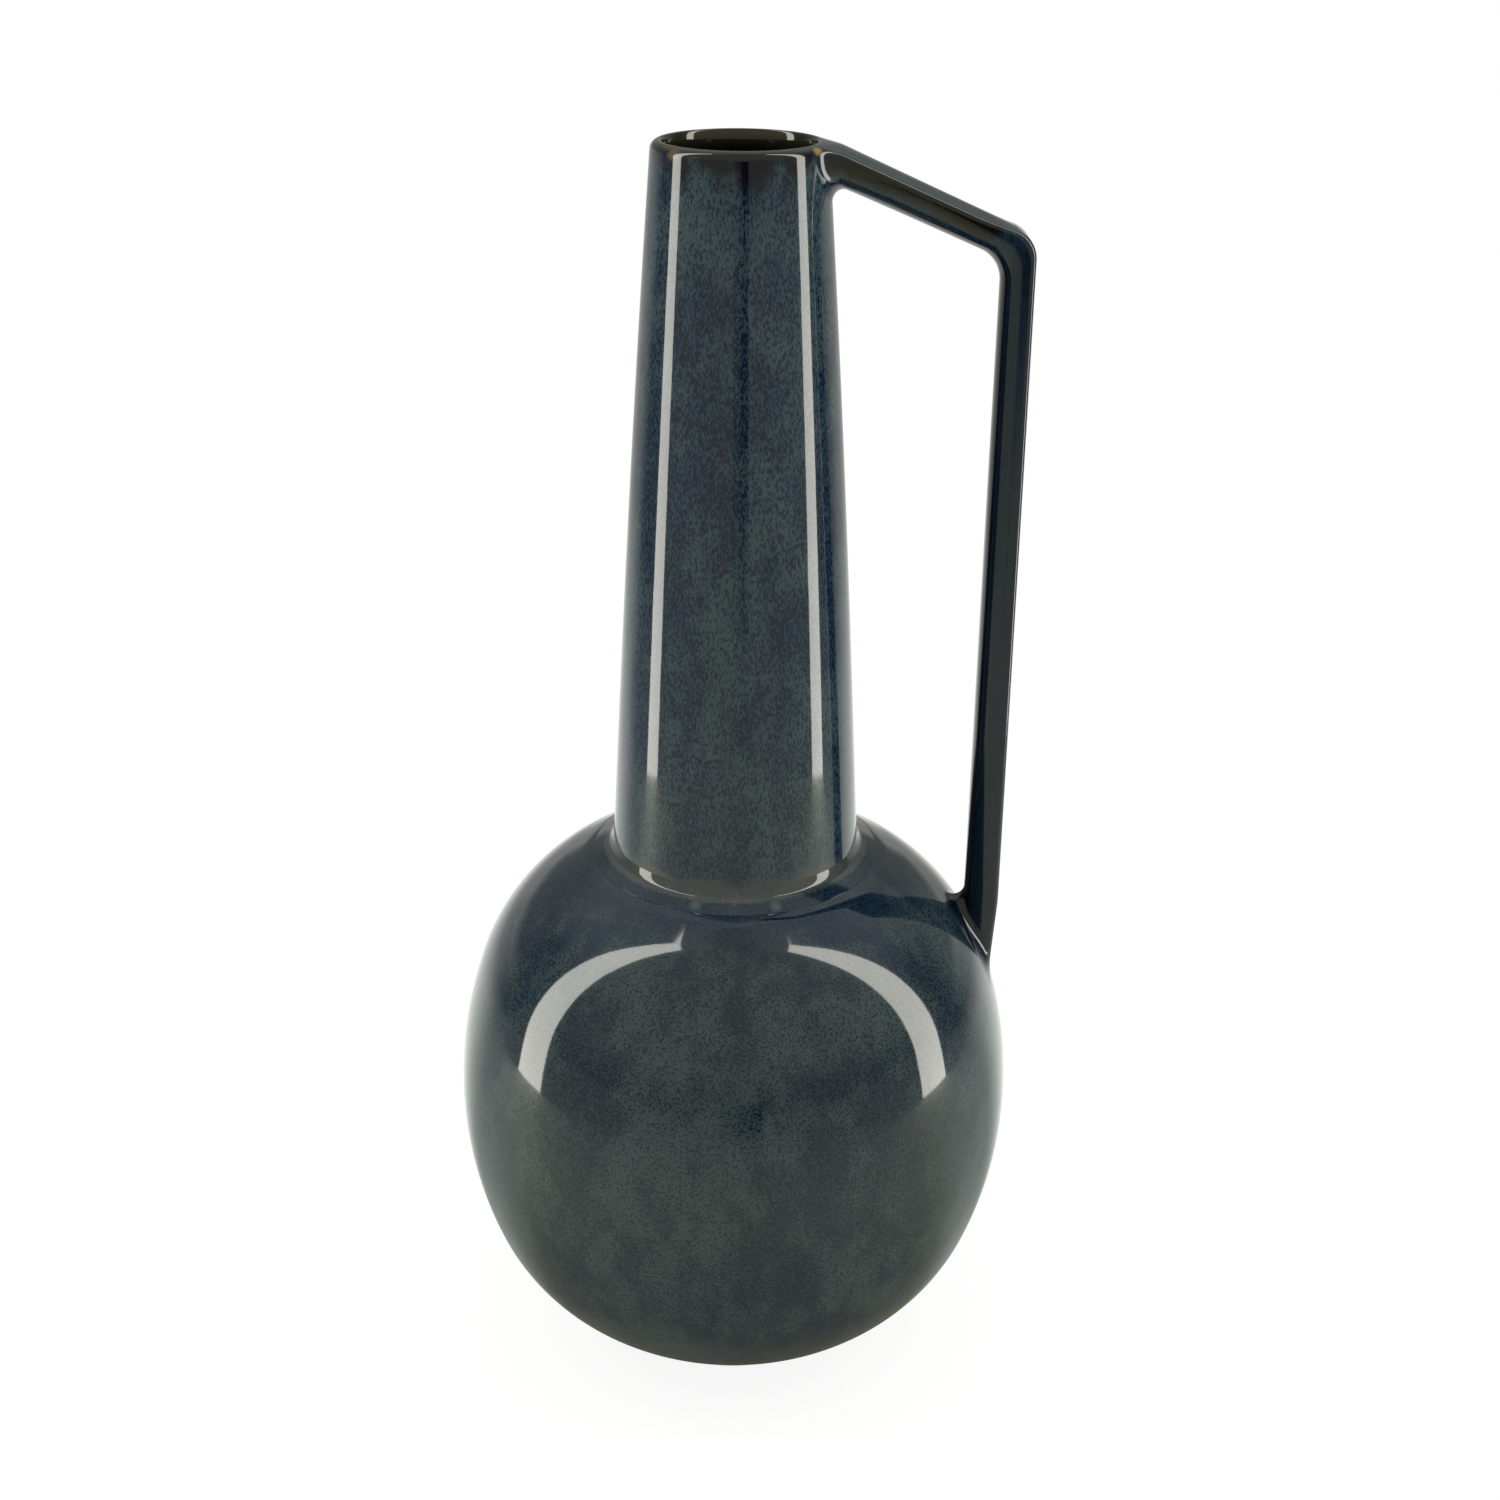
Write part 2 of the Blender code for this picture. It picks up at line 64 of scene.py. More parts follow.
# Neck: a slightly bellied cone with a rounded lip and a spigot.
NECK_TOP_RADIUS = 29.3 * MM
NECK_FOOT_RADIUS = 45.7 * MM
NECK_BELLY = 0.80 * MM           # how far the cone's side bulges from straight
LIP_WALL = 4.4 * MM
LIP_OUTER_ROUND = 3.0 * MM
LIP_INNER_ROUND = (1.2 * MM, 6.0 * MM)  # across and down
LIP_STEPS = 14
BORE_FOOT_RADIUS = 38.0 * MM
BORE_STEPS = 25
SPIGOT_RADIUS = 41.4 * MM
SPIGOT_LENGTH = 10.5 * MM
COLLAR_HEIGHT = 207.6 * MM
COLLAR_THICKNESS = 11.0 * MM

FOOT_OUTER_RADIUS = 49.2 * MM
FOOT_INNER_RADIUS = 42.0 * MM
FOOT_TOP_RADIUS = 46.4 * MM
FOOT_BEVEL = 0.9 * MM

# Handle: the (x, z) corners of its outer and inner faces, with the radius that rounds each corner.
HANDLE_OUTER = [
    ((25.5 * MM, 463.0 * MM), 0.0),
    ((31.0 * MM, 463.2 * MM), 18.0 * MM),
    ((97.7 * MM, 434.0 * MM), 11.0 * MM),
    ((99.2 * MM, 188.0 * MM), 80.0 * MM),
    ((96.3 * MM, 140.0 * MM), 0.0),
]
HANDLE_INNER = [
    ((25.5 * MM, 450.1 * MM), 0.0),
    ((31.5 * MM, 450.0 * MM), 24.0 * MM),
    ((86.9 * MM, 426.4 * MM), 12.0 * MM),
    ((87.0 * MM, 188.0 * MM), 80.0 * MM),
    ((84.6 * MM, 140.0 * MM), 0.0),
]
FACE_THIN = 0.6                  # how far the glaze has run off the arm's two side faces
INNER_THICK = 0.6                # how deep the glaze lies on the inner side, as a negative thinness
LEG_THIN = 0.55                  # both of them on the leg, as a share of the arm's
HANDLE_HALF_WIDTH = 9.0 * MM
HANDLE_ROOT_FLARE = 3.0 * MM     # extra half-width where the top arm meets the neck
HANDLE_OUTER_EDGE = 2.2 * MM     # edge rounding on the outer face
HANDLE_INNER_EDGE = 8.0 * MM     # edge rounding on the inner face
ARM_CROWN = 1.3 * MM             # how far the arm's top face falls away to its edges
LEG_BEGINS = (80.0 * MM, 98.0 * MM)  # x from the last of the arm to the first of the leg
EDGE_STEPS = 9                   # steps round each edge of the bar
FLAT_STEPS = (8, 16)             # steps across its sides, and across its two faces
HANDLE_STEPS = (4, 10, 22, 24, 60, 6, 16)  # sections along each line and each bend, in turn
HANDLE_SINK = 3.0 * MM           # how far the leg runs into the globe

# Seam: a hollow against the neck, then a straight slope. Slopes are in degrees below level.
SEAM_TOP = 213.0 * MM            # where the band of slip leaves the neck
SEAM_TOP_SLOPE = 66.0
SEAM_TOP_PULL = 0.8 * MM
SEAM_BROW_RADIUS = 47.6 * MM     # where the hollow ends and the band's straight slope begins
SEAM_BROW_PULL = 1.2 * MM
SEAM_SLOPE = 30.0
SEAM_LIFT = 0.20 * MM            # thickness of the slip where it ends on the globe
SEAM_TOE = 53.2 * MM             # radius where it ends
SEAM_TOE_PULL = 1.5 * MM
POOL_EDGE = (48.0 * MM, 50.2 * MM)  # radii over which the blue glaze comes to lie on the band
SEAM_STEPS = 14

# Slip fillets of the handle: how far each one reaches along the walls it joins.
ROOT_REACH = 5.0 * MM
ROOT_ROUND = 4.5 * MM
FOOT_END_REACH = 7.0 * MM
FOOT_END_ROUND = 4.0 * MM
UNDERLAP = 0.4 * MM              # how far a fillet's hidden side lies under the surface
GLAZE_SECTION = 1 / 7            # how far along the bar the slip's glaze is taken from
PROBE = 0.1 * MM                 # distance along the bar at which its direction is measured
FILLET_STEPS = 14
BASE_STEPS = 4


# ---- Camera ----
CAMERA_PLACE = (0.0052, -0.68006, 0.55615)
CAMERA_LENS = 48.72              # millimetres, on a sensor 36 mm wide
CAMERA_TILT = 65.5               # degrees up from straight down
CAMERA_ROLL = 0.55


def make_camera():
    data = bpy.data.cameras.new("camera")
    data.sensor_width = 36.0
    data.lens = CAMERA_LENS
    data.clip_start = 0.01
    camera = bpy.data.objects.new("camera", data)
    bpy.context.scene.collection.objects.link(camera)
    tilt = Matrix.Rotation(math.radians(CAMERA_TILT), 4, "X")
    roll = Matrix.Rotation(math.radians(CAMERA_ROLL), 4, "Z")
    camera.matrix_world = Matrix.Translation(CAMERA_PLACE) @ tilt @ roll
    bpy.context.scene.camera = camera


# ---- Outlines ----
def arc(centre, radius, start, end, steps):
    """Points of a circular arc in the (r, z) plane, angles in degrees from +r."""
    points = []
    for i in range(steps + 1):
        angle = math.radians(start + (end - start) * i / steps)
        points.append((centre[0] + radius * math.cos(angle), centre[1] + radius * math.sin(angle)))
    return points


def end_arc(radius, offset, sign):
    """Centre and radius of the shoulder's (sign 1) or belly's (sign -1) arc, moved out by offset."""
    angle = math.radians(EQUATOR_ANGLE)
    reach = EQUATOR_ARC - radius
    centre_r = GLOBE_RADIUS - EQUATOR_ARC + reach * math.cos(angle)
    centre_z = EQUATOR_HEIGHT + sign * reach * math.sin(angle)
    return (centre_r, centre_z), radius + offset


def shoulder_start(offset):
    """Where the shoulder's arc ends at the top and the cone up to the collar begins."""
    centre, radius = end_arc(SHOULDER_ARC, offset, 1)
    tilt = math.radians(SHOULDER_TILT)
    return centre[0] + radius * math.cos(tilt), centre[1] + radius * math.sin(tilt)


def shoulder_height(offset, r):
    """Height at radius r of the cone, moved out by offset."""
    start = shoulder_start(offset)
    return start[1] + (start[0] - r) / math.tan(math.radians(SHOULDER_TILT))


def globe_side(offset, top, bottom, steps):
    """The globe's side from height top down to height bottom, moved out by offset."""
    upper, upper_radius = end_arc(SHOULDER_ARC, offset, 1)
    lower, lower_radius = end_arc(BELLY_ARC, offset, -1)
    end = math.degrees(math.asin((bottom - lower[1]) / lower_radius))
    middle = (GLOBE_RADIUS - EQUATOR_ARC, EQUATOR_HEIGHT)
    start = shoulder_start(offset)
    collar = (start[0] - (top - start[1]) * math.tan(math.radians(SHOULDER_TILT)), top)
    side = [collar, ((collar[0] + start[0]) / 2.0, (collar[1] + start[1]) / 2.0)]
    side += arc(upper, upper_radius, SHOULDER_TILT, EQUATOR_ANGLE, steps)
    side += arc(middle, EQUATOR_ARC + offset, EQUATOR_ANGLE, -EQUATOR_ANGLE, steps // 2)[1:]
    side += arc(lower, lower_radius, -EQUATOR_ANGLE, end, steps)[1:]
    return side


def neck_radius(z):
    """Outer radius of the neck's bellied cone at height z."""
    top = RIM_HEIGHT - LIP_OUTER_ROUND
    t = (z - COLLAR_HEIGHT) / (top - COLLAR_HEIGHT)
    radius = NECK_FOOT_RADIUS + (NECK_TOP_RADIUS - NECK_FOOT_RADIUS) * t
    return radius + 4.0 * NECK_BELLY * t * (1.0 - t)


def neck_side(steps):
    """The neck's side, from the foot up to the start of the lip."""
    foot = COLLAR_HEIGHT + GAP
    rise = RIM_HEIGHT - LIP_OUTER_ROUND - foot
    heights = [foot + rise * i / steps for i in range(steps + 1)]
    return [(neck_radius(z), z) for z in heights]


def lip_outside(steps):
    """The lip's outer rounding, from the neck's side over to the crest."""
    centre = (NECK_TOP_RADIUS - LIP_OUTER_ROUND, RIM_HEIGHT - LIP_OUTER_ROUND)
    return arc(centre, LIP_OUTER_ROUND, 0.0, 90.0, steps)


def lip_inside(steps):
    """The lip's inner side: a quarter ellipse, so the mouth opens out gently."""
    across, down = LIP_INNER_ROUND
    centre = (NECK_TOP_RADIUS - LIP_WALL + across, RIM_HEIGHT - down)
    turns = [math.pi / 2.0 * (1.0 + i / steps) for i in range(steps + 1)]
    return [(centre[0] + across * math.cos(t), centre[1] + down * math.sin(t)) for t in turns]


def cubic(first, second, third, fourth, t):
    """The point at t, from 0 to 1, of the cubic curve with these four control points."""
    weights = [(1 - t) ** 3, 3 * t * (1 - t) ** 2, 3 * t * t * (1 - t), t ** 3]
    return first * weights[0] + second * weights[1] + third * weights[2] + fourth * weights[3]


def curve(start, start_slope, start_pull, end, end_slope, end_pull):
    """Cubic curve outwards and down, leaving and arriving at slopes in degrees below level."""
    leave, arrive = math.radians(start_slope), math.radians(end_slope)
    first = Vector(start)
    second = first + Vector((math.cos(leave), -math.sin(leave))) * start_pull
    fourth = Vector(end)
    third = fourth - Vector((math.cos(arrive), -math.sin(arrive))) * end_pull
    return [cubic(first, second, third, fourth, k / SEAM_STEPS) for k in range(SEAM_STEPS + 1)]


class Outline:
    """A turned surface's outline, measured by its length, with smooth normals."""

    def __init__(self, points):
        self.points = [Vector(p) for p in points]
        self.at = [0.0]
        for a, b in zip(self.points, self.points[1:]):
            self.at.append(self.at[-1] + (b - a).length)
        side = 1.0 if self.points[-1].y < self.points[0].y else -1.0
        flat = []
        for a, b in zip(self.points, self.points[1:]):
            along = (b - a).normalized()
            flat.append(Vector((-along.y, along.x)) * side)
        self.normals = [flat[0]]
        self.normals += [(a + b).normalized() for a, b in zip(flat, flat[1:])]
        self.normals.append(flat[-1])
        self.side = side

    def place(self, s):
        """Point (r, z), outward normal and upward direction of the outline at length s."""
        s = min(max(s, 0.0), self.at[-1])
        i = 0
        while i < len(self.at) - 2 and self.at[i + 1] < s:
            i += 1
        t = (s - self.at[i]) / (self.at[i + 1] - self.at[i])
        point = self.points[i].lerp(self.points[i + 1], t)
        normal = self.normals[i].lerp(self.normals[i + 1], t).normalized()
        return point, normal, Vector((normal.y, -normal.x)) * self.side

    def nearest(self, r, z):
        """Signed distance outside the outline, and the length s of its nearest point."""
        best = (1e9, 0.0, 0.0)
        target = Vector((r, z))
        for i in range(len(self.points) - 1):
            a, b = self.points[i], self.points[i + 1]
            edge = b - a
            t = min(1.0, max(0.0, (target - a).dot(edge) / edge.length_squared))
            gap = target - (a + edge * t)
            if gap.length < best[0]:
                outward = self.normals[i].lerp(self.normals[i + 1], t)
                best = (gap.length, math.copysign(gap.length, gap.dot(outward)),
                        self.at[i] + edge.length * t)
        return best[1], best[2]


def rounded_line(corners, steps):
    """A line through the corners, each rounded by its own radius, with steps points per stretch."""
    points = [Vector(corners[0][0])]
    start = points[0]
    for i in range(1, len(corners) - 1):
        here, radius = Vector(corners[i][0]), corners[i][1]
        back = (Vector(corners[i - 1][0]) - here).normalized()
        ahead = (Vector(corners[i + 1][0]) - here).normalized()
        half = back.angle(ahead) / 2.0
        first = here + back * radius / math.tan(half)
        last = here + ahead * radius / math.tan(half)
        centre = here + (back + ahead).normalized() * radius / math.sin(half)
        count = steps[2 * i - 2]
        points += [start.lerp(first, (k + 1) / count) for k in range(count)]
        count = steps[2 * i - 1]
        for k in range(count):
            spoke = (first - centre).lerp(last - centre, 0.5).normalized()
            side = (last - first).normalized()
            swing = (math.pi / 2.0 - half) * ((k + 1) / count * 2.0 - 1.0)
            points.append(centre + radius * (spoke * math.cos(swing) + side * math.sin(swing)))
        start = last
    end = Vector(corners[-1][0])
    count = steps[-1]
    points += [start.lerp(end, (k + 1) / count) for k in range(count)]
    return points


def smooth(low, high, value):
    """0 at low and 1 at high, with a soft start and end."""
    t = min(1.0, max(0.0, (value - low) / (high - low)))
    return t * t * (3.0 - 2.0 * t)


# ---- Meshes ----
def add_piece(name, verts, faces, thin, material, nodes):
    """A smooth closed mesh with the attribute thin (how far the glaze has thinned), on the root body."""
    mesh = bpy.data.meshes.new(name)
    mesh.from_pydata([tuple(v) for v in verts], [], faces)
    attribute = mesh.attributes.new("thin", "FLOAT", "POINT")
    attribute.data.foreach_set("value", thin)
    bm = bmesh.new()
    bm.from_mesh(mesh)
    bmesh.ops.recalc_face_normals(bm, faces=bm.faces)
    bm.to_mesh(mesh)
    bm.free()
    mesh.shade_smooth()
    mesh.set_sharp_from_angle(angle=math.radians(40.0))
    piece = bpy.data.objects.new(name, mesh)
    bpy.context.scene.collection.objects.link(piece)
    piece.data.materials.append(material)
    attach(piece, "root")
    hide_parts(*nodes)
    return piece


def turned(name, outline, closed, thin_at, material, nodes):
    """Turns an outline of (r, z) points round the axis; a point on the axis closes the surface."""
    verts, rows, thin = [], [], []
    for index, (r, z) in enumerate(outline):
        row = []
        for k in range(1 if r < 1e-9 else ROUND):
            angle = 2.0 * math.pi * k / ROUND
            row.append(len(verts))
            point = Vector((r * math.cos(angle), r * math.sin(angle), z))
            verts.append(point)
            thin.append(thin_at(index, point))
        rows.append(row)
    pairs = list(zip(rows, rows[1:]))
    if closed:
        pairs.append((rows[-1], rows[0]))
    faces = []
    for low, high in pairs:
        for k in range(ROUND):
            after = (k + 1) % ROUND
            if len(low) == 1:
                faces.append((low[0], high[after], high[k]))
            elif len(high) == 1:
                faces.append((low[k], low[after], high[0]))
            else:
                faces.append((low[k], low[after], high[after], high[k]))
    return add_piece(name, verts, faces, thin, material, nodes)


def lofted(name, loops, thins, ring, material, nodes):
    """Joins closed loops of points, into a ring or with a cap at each end."""
    count = len(loops[0])
    verts = [point for loop in loops for point in loop]
    thin = [value for row in thins for value in row]
    faces = []
    total = len(loops)
    for i in range(total if ring else total - 1):
        j = (i + 1) % total
        for k in range(count):
            after = (k + 1) % count
            faces.append((i * count + k, i * count + after, j * count + after, j * count + k))
    if not ring:
        faces.append(tuple(range(count)))
        faces.append(tuple((total - 1) * count + k for k in range(count)))
    return add_piece(name, verts, faces, thin, material, nodes)


# ---- Handle ----
def bar_section(inner, outer, half_width, crown):
    """One closed section of the bar: (point, outward normal, edge weight) for each of its points.

    Its outer face is crowned: it falls away by crown from its middle line to its two edges.
    """
    across = Vector((outer.x - inner.x, 0.0, outer.y - inner.y))
    half_thickness = across.length / 2.0
    across.normalize()
    middle = Vector(((outer.x + inner.x) / 2.0, 0.0, (outer.y + inner.y) / 2.0))
    corners = [(1, 1, HANDLE_OUTER_EDGE), (-1, 1, HANDLE_INNER_EDGE),
               (-1, -1, HANDLE_INNER_EDGE), (1, -1, HANDLE_OUTER_EDGE)]
    rounds = []
    for index, (side, face, edge) in enumerate(corners):
        centre = middle + across * side * (half_thickness - edge - (crown if side == 1 else 0.0))
        centre.y = face * (half_width - edge)
        for k in range(EDGE_STEPS + 1):
            angle = math.radians(90.0 * (index + k / EDGE_STEPS))
            normal = across * math.cos(angle) + Vector((0.0, math.sin(angle), 0.0))
            swell = math.sin(math.pi * k / EDGE_STEPS)
            facing = abs(normal.y)
            weight = FACE_THIN * facing * facing
            if side == 1:
                weight += swell ** 3 * (1.0 - FACE_THIN)
            else:
                weight -= INNER_THICK * (1.0 - facing * facing)
            rounds.append((centre + normal * edge, normal, weight))
    loop = []
    for index in range(4):
        turn = rounds[index * (EDGE_STEPS + 1):(index + 1) * (EDGE_STEPS + 1)]
        following = rounds[(index + 1) * (EDGE_STEPS + 1) % len(rounds)][0]
        last, normal, weight = turn[-1]
        steps = FLAT_STEPS[index % 2]
        bulge = crown if index == 3 else 0.0
        loop += turn
        for k in range(1, steps):
            t = k / steps
            lift = across * bulge * 4.0 * t * (1.0 - t)
            loop.append((last.lerp(following, t) + lift, normal, weight))
    return loop


def bar_sections():
    """All sections of the bar, from inside the neck to inside the globe."""
    outer = rounded_line(HANDLE_OUTER, HANDLE_STEPS)
    inner = rounded_line(HANDLE_INNER, HANDLE_STEPS)
    elbow = HANDLE_OUTER[2][0][0]
    sections = []
    for a, b in zip(inner, outer):
        towards_neck = min(1.0, max(0.0, (elbow - b.x) / (elbow - NECK_TOP_RADIUS)))
        half_width = HANDLE_HALF_WIDTH + HANDLE_ROOT_FLARE * towards_neck ** 3
        on_leg = smooth(*LEG_BEGINS, b.x)
        section = bar_section(a, b, half_width, ARM_CROWN * (1.0 - on_leg))
        fade = 1.0 + (LEG_THIN - 1.0) * on_leg
        sections.append([(point, normal, weight * fade) for point, normal, weight in section])
    return sections


def landing(surface, line, depth):
    """Where a lengthwise line of the bar, followed from inside, is depth outside the surface."""
    def outside(point):
        return surface.nearest(math.hypot(point.x, point.y), point.z)[0] > depth

    index = 1
    while not outside(line[index]):
        index += 1
    a, b = line[index - 1], line[index]
    for _ in range(30):
        middle = (a + b) / 2.0
        if outside(middle):
            b = middle
        else:
            a = middle
    return index, b


def along_line(line, index, start, distance):
    """Point and direction at a distance along the line, from start, which comes before index."""
    while distance > (line[index] - start).length:
        distance -= (line[index] - start).length
        start = line[index]
        index += 1
    direction = (line[index] - start).normalized()
    return start + direction * distance, direction


def on_surface(surface, turn, s, lift):
    """Point, normal, round-the-axis direction and outline direction, raised by lift."""
    place, normal, along = surface.place(s)
    place = place + normal * lift
    radial = Vector((math.cos(turn), math.sin(turn), 0.0))
    point = radial * place.x + Vector((0.0, 0.0, place.y))
    outward = radial * normal.x + Vector((0.0, 0.0, normal.y))
    upward = radial * along.x + Vector((0.0, 0.0, along.y))
    return point, outward, Vector((-radial.y, radial.x, 0.0)), upward


def fillet_loop(surface, line, section_normal, reach, rounding):
    """A cross-section of slip: over the hollow curve from wall to surface, and back underneath."""
    index, corner = landing(surface, line, 0.0)
    wall = along_line(line, index, corner, PROBE)[1]
    turn = math.atan2(corner.y, corner.x)
    radius = math.hypot(corner.x, corner.y)
    s = surface.nearest(radius, corner.z)[1]
    _, outward, around, along = on_surface(surface, turn, s, 0.0)
    away = (section_normal - outward * section_normal.dot(outward)).normalized()
    half = wall.angle(away) / 2.0
    length = max(reach, rounding / math.tan(half))
    swing = 4.0 / 3.0 * math.tan((math.pi - 2.0 * half) / 4.0) * math.tan(half)
    spread = length
    if away.dot(along) > 0.01:
        spread = min(length, 0.97 * (surface.at[-1] - s) / away.dot(along))

    def walk(distance, lift):
        shift = away.dot(around) * distance / radius
        return on_surface(surface, turn + shift, s + away.dot(along) * distance, lift)

    start, start_wall = along_line(line, index, corner, length)
    end, _, around_end, along_end = walk(spread, 0.0)
    end_away = (around_end * away.dot(around) + along_end * away.dot(along)).normalized()
    controls = [start, start - start_wall * swing * length, end - end_away * swing * spread, end]
    loop = [cubic(*controls, k / FILLET_STEPS) for k in range(FILLET_STEPS + 1)]
    loop += [walk(spread * k / BASE_STEPS, -UNDERLAP)[0] for k in range(BASE_STEPS, -1, -1)]
    loop[-1] = loop[-1] - section_normal * UNDERLAP
    loop.append(start - section_normal * UNDERLAP)
    return loop


def slip_fillet(name, surface, sections, reach, rounding, kept, material, nodes):
    """A ring of slip round the bar; kept is the share of thick glaze where it meets the surface."""
    loops, thins = [], []
    for k in range(len(sections[0])):
        line = [section[k][0] for section in sections]
        section_normal = sections[landing(surface, line, 0.0)[0]][k][1]
        loop = fillet_loop(surface, line, section_normal, reach, rounding)
        loops.append(loop)
        weight = sections[int(len(sections) * GLAZE_SECTION)][k][2]
        thins.append([weight * (1.0 - kept * smooth(0.2, 1.0, i / FILLET_STEPS))
                      for i in range(len(loop))])
    return lofted(name, loops, thins, True, material, nodes)


# ---- Node helpers ----
class Shader:
    """Short calls for building a node tree."""

    def __init__(self, tree):
        self.tree = tree
        self.tree.nodes.clear()

    def node(self, kind, **settings):
        made = self.tree.nodes.new(kind)
        for key, value in settings.items():
            setattr(made, key, value)
        return made

    def feed(self, socket, value):
        if isinstance(value, bpy.types.NodeSocket):
            self.tree.links.new(value, socket)
        elif isinstance(value, tuple) and len(value) == 3 and socket.type == "RGBA":
            socket.default_value = (*value, 1.0)
        else:
            socket.default_value = value

    def math(self, operation, a, b=0.0):
        made = self.node("ShaderNodeMath", operation=operation)
        self.feed(made.inputs[0], a)
        self.feed(made.inputs[1], b)
        return made.outputs[0]

    def step(self, value, low, high, to_low=0.0, to_high=1.0):
        made = self.node("ShaderNodeMapRange", interpolation_type="SMOOTHSTEP")
        for index, item in enumerate((value, low, high, to_low, to_high)):
            self.feed(made.inputs[index], item)
        return made.outputs[0]

    def mix(self, factor, a, b, blend="MIX"):
        made = self.node("ShaderNodeMix", data_type="RGBA", blend_type=blend)
        self.feed(made.inputs[0], factor)
        self.feed(made.inputs[6], a)
        self.feed(made.inputs[7], b)
        return made.outputs[2]

    def stretch(self, vector, scale):
        made = self.node("ShaderNodeVectorMath", operation="MULTIPLY")
        self.feed(made.inputs[0], vector)
        self.feed(made.inputs[1], scale)
        return made.outputs[0]

    def attribute(self, name):
        return self.node("ShaderNodeAttribute", attribute_name=name).outputs["Fac"]

    def spot(self, vector, centre, inner, outer):
        """1 within inner of the centre, falling to 0 at outer."""
        made = self.node("ShaderNodeVectorMath", operation="DISTANCE")
        self.feed(made.inputs[0], vector)
        self.feed(made.inputs[1], centre)
        return self.step(made.outputs[1], inner, outer, 1.0, 0.0)

    def flat_spot(self, vector, centre, flatness, inner, outer):
        """The same for a spot that is flattened in height."""
        x, y, z = centre
        return self.spot(self.stretch(vector, (1.0, 1.0, flatness)), (x, y, flatness * z), inner, outer)

    def noise(self, vector, scale, detail=2.0, roughness=0.5, distortion=0.0):
        made = self.node("ShaderNodeTexNoise", noise_dimensions="3D")
        self.feed(made.inputs["Vector"], vector)
        made.inputs["Scale"].default_value = scale
        made.inputs["Detail"].default_value = detail
        made.inputs["Roughness"].default_value = roughness
        made.inputs["Distortion"].default_value = distortion
        return made.outputs[0]


def new_material(name):
    made = bpy.data.materials.new(name)
    made.use_nodes = True
    return made, Shader(made.node_tree)


# ---- Materials ----
CLEAR = (0.0220, 0.0390, 0.0470)  # grey-blue glaze where it is clear of navy
GREEN = (0.0215, 0.0345, 0.0385)  # the same on the globe
TEAL = (0.0095, 0.0210, 0.0295)
BLUE = (0.0120, 0.0255, 0.0430)
NAVY = (0.0010, 0.0050, 0.0130)   # the dark flecks
INK = (0.0008, 0.0016, 0.0060)    # thick glaze under the handle
BROWN = (0.0030, 0.0026, 0.0022)  # glaze thinned over the handle's sides and edges
RIM = (0.0025, 0.0022, 0.0060)   # violet-black glaze below the lip
POOL = (0.0008, 0.0050, 0.0125)  # blue glaze pooled on the shoulder, against the seam
HAZE = (0.0065, 0.0170, 0.0290)  # pale specks in the pool
OLIVE = (0.011, 0.0105, 0.0070)    # inside of the mouth near the lip; deeper down, the darker brown is thinned glaze and partly painted shade
TAN = (0.10, 0.066, 0.040)
GOLD = (0.20, 0.125, 0.045)
# Two pale spots below the seam: painted reflections of the strip lights' tops.
STRIP_REFLECTION_PAINT = (0.060, 0.068, 0.068)
STRIP_REFLECTION_PLACES = ((-0.0134, -0.0480, 0.2063), (0.0146, -0.0480, 0.2062))
CREAM = (0.038, 0.040, 0.036)    # glaze thinned over the slip of the neck's seam
DULL_CREAM = (0.026, 0.034, 0.035)
CLAY = (0.40, 0.31, 0.22)
DARK_CLAY = (0.30, 0.22, 0.15)
GRIT = (0.16, 0.11, 0.075)

# Heights over which each of these comes in, from where it begins to where it is full.
RIM_BAND = (RIM_HEIGHT - 12.0 * MM, RIM_HEIGHT - 3.0 * MM)
LIP_BAND = (RIM_HEIGHT - 3.0 * MM, RIM_HEIGHT - 0.6 * MM)
MOUTH_BAND = (RIM_HEIGHT - 7.5 * MM, RIM_HEIGHT - 2.0 * MM)
FOOT_FADE = (SEAM_TOP + 4.5 * MM, SEAM_TOP)
POOL_HEIGHTS = (184.0 * MM, 207.0 * MM)
# Painted shade: heights over which navy darkens the globe towards its bottom.
BELLY_SHADE_HEIGHTS = (50.0 * MM, 12.0 * MM)
BASE_HEIGHTS = (16.0 * MM, 9.0 * MM)
ELBOW_HEIGHTS = (440.0 * MM, 425.0 * MM)
# Tan spot on the lip: partly thin tan glaze, partly a painted glint.
TAN_AND_GLINT_SPOT = (-20.5 * MM, -20.5 * MM, 461.2 * MM)
# Gold spot by the handle's root: partly gold glaze, partly a painted glint.
GOLD_AND_GLINT_SPOT = (25.2 * MM, -15.1 * MM, 462.2 * MM)
GLOSS = 0.05                     # roughness of the glaze
SEAM_GLOSS = 0.06
WAVE_DEPTH = 0.03 * MM           # waviness of the fired glaze
GRIT_DEPTH = 0.2 * MM


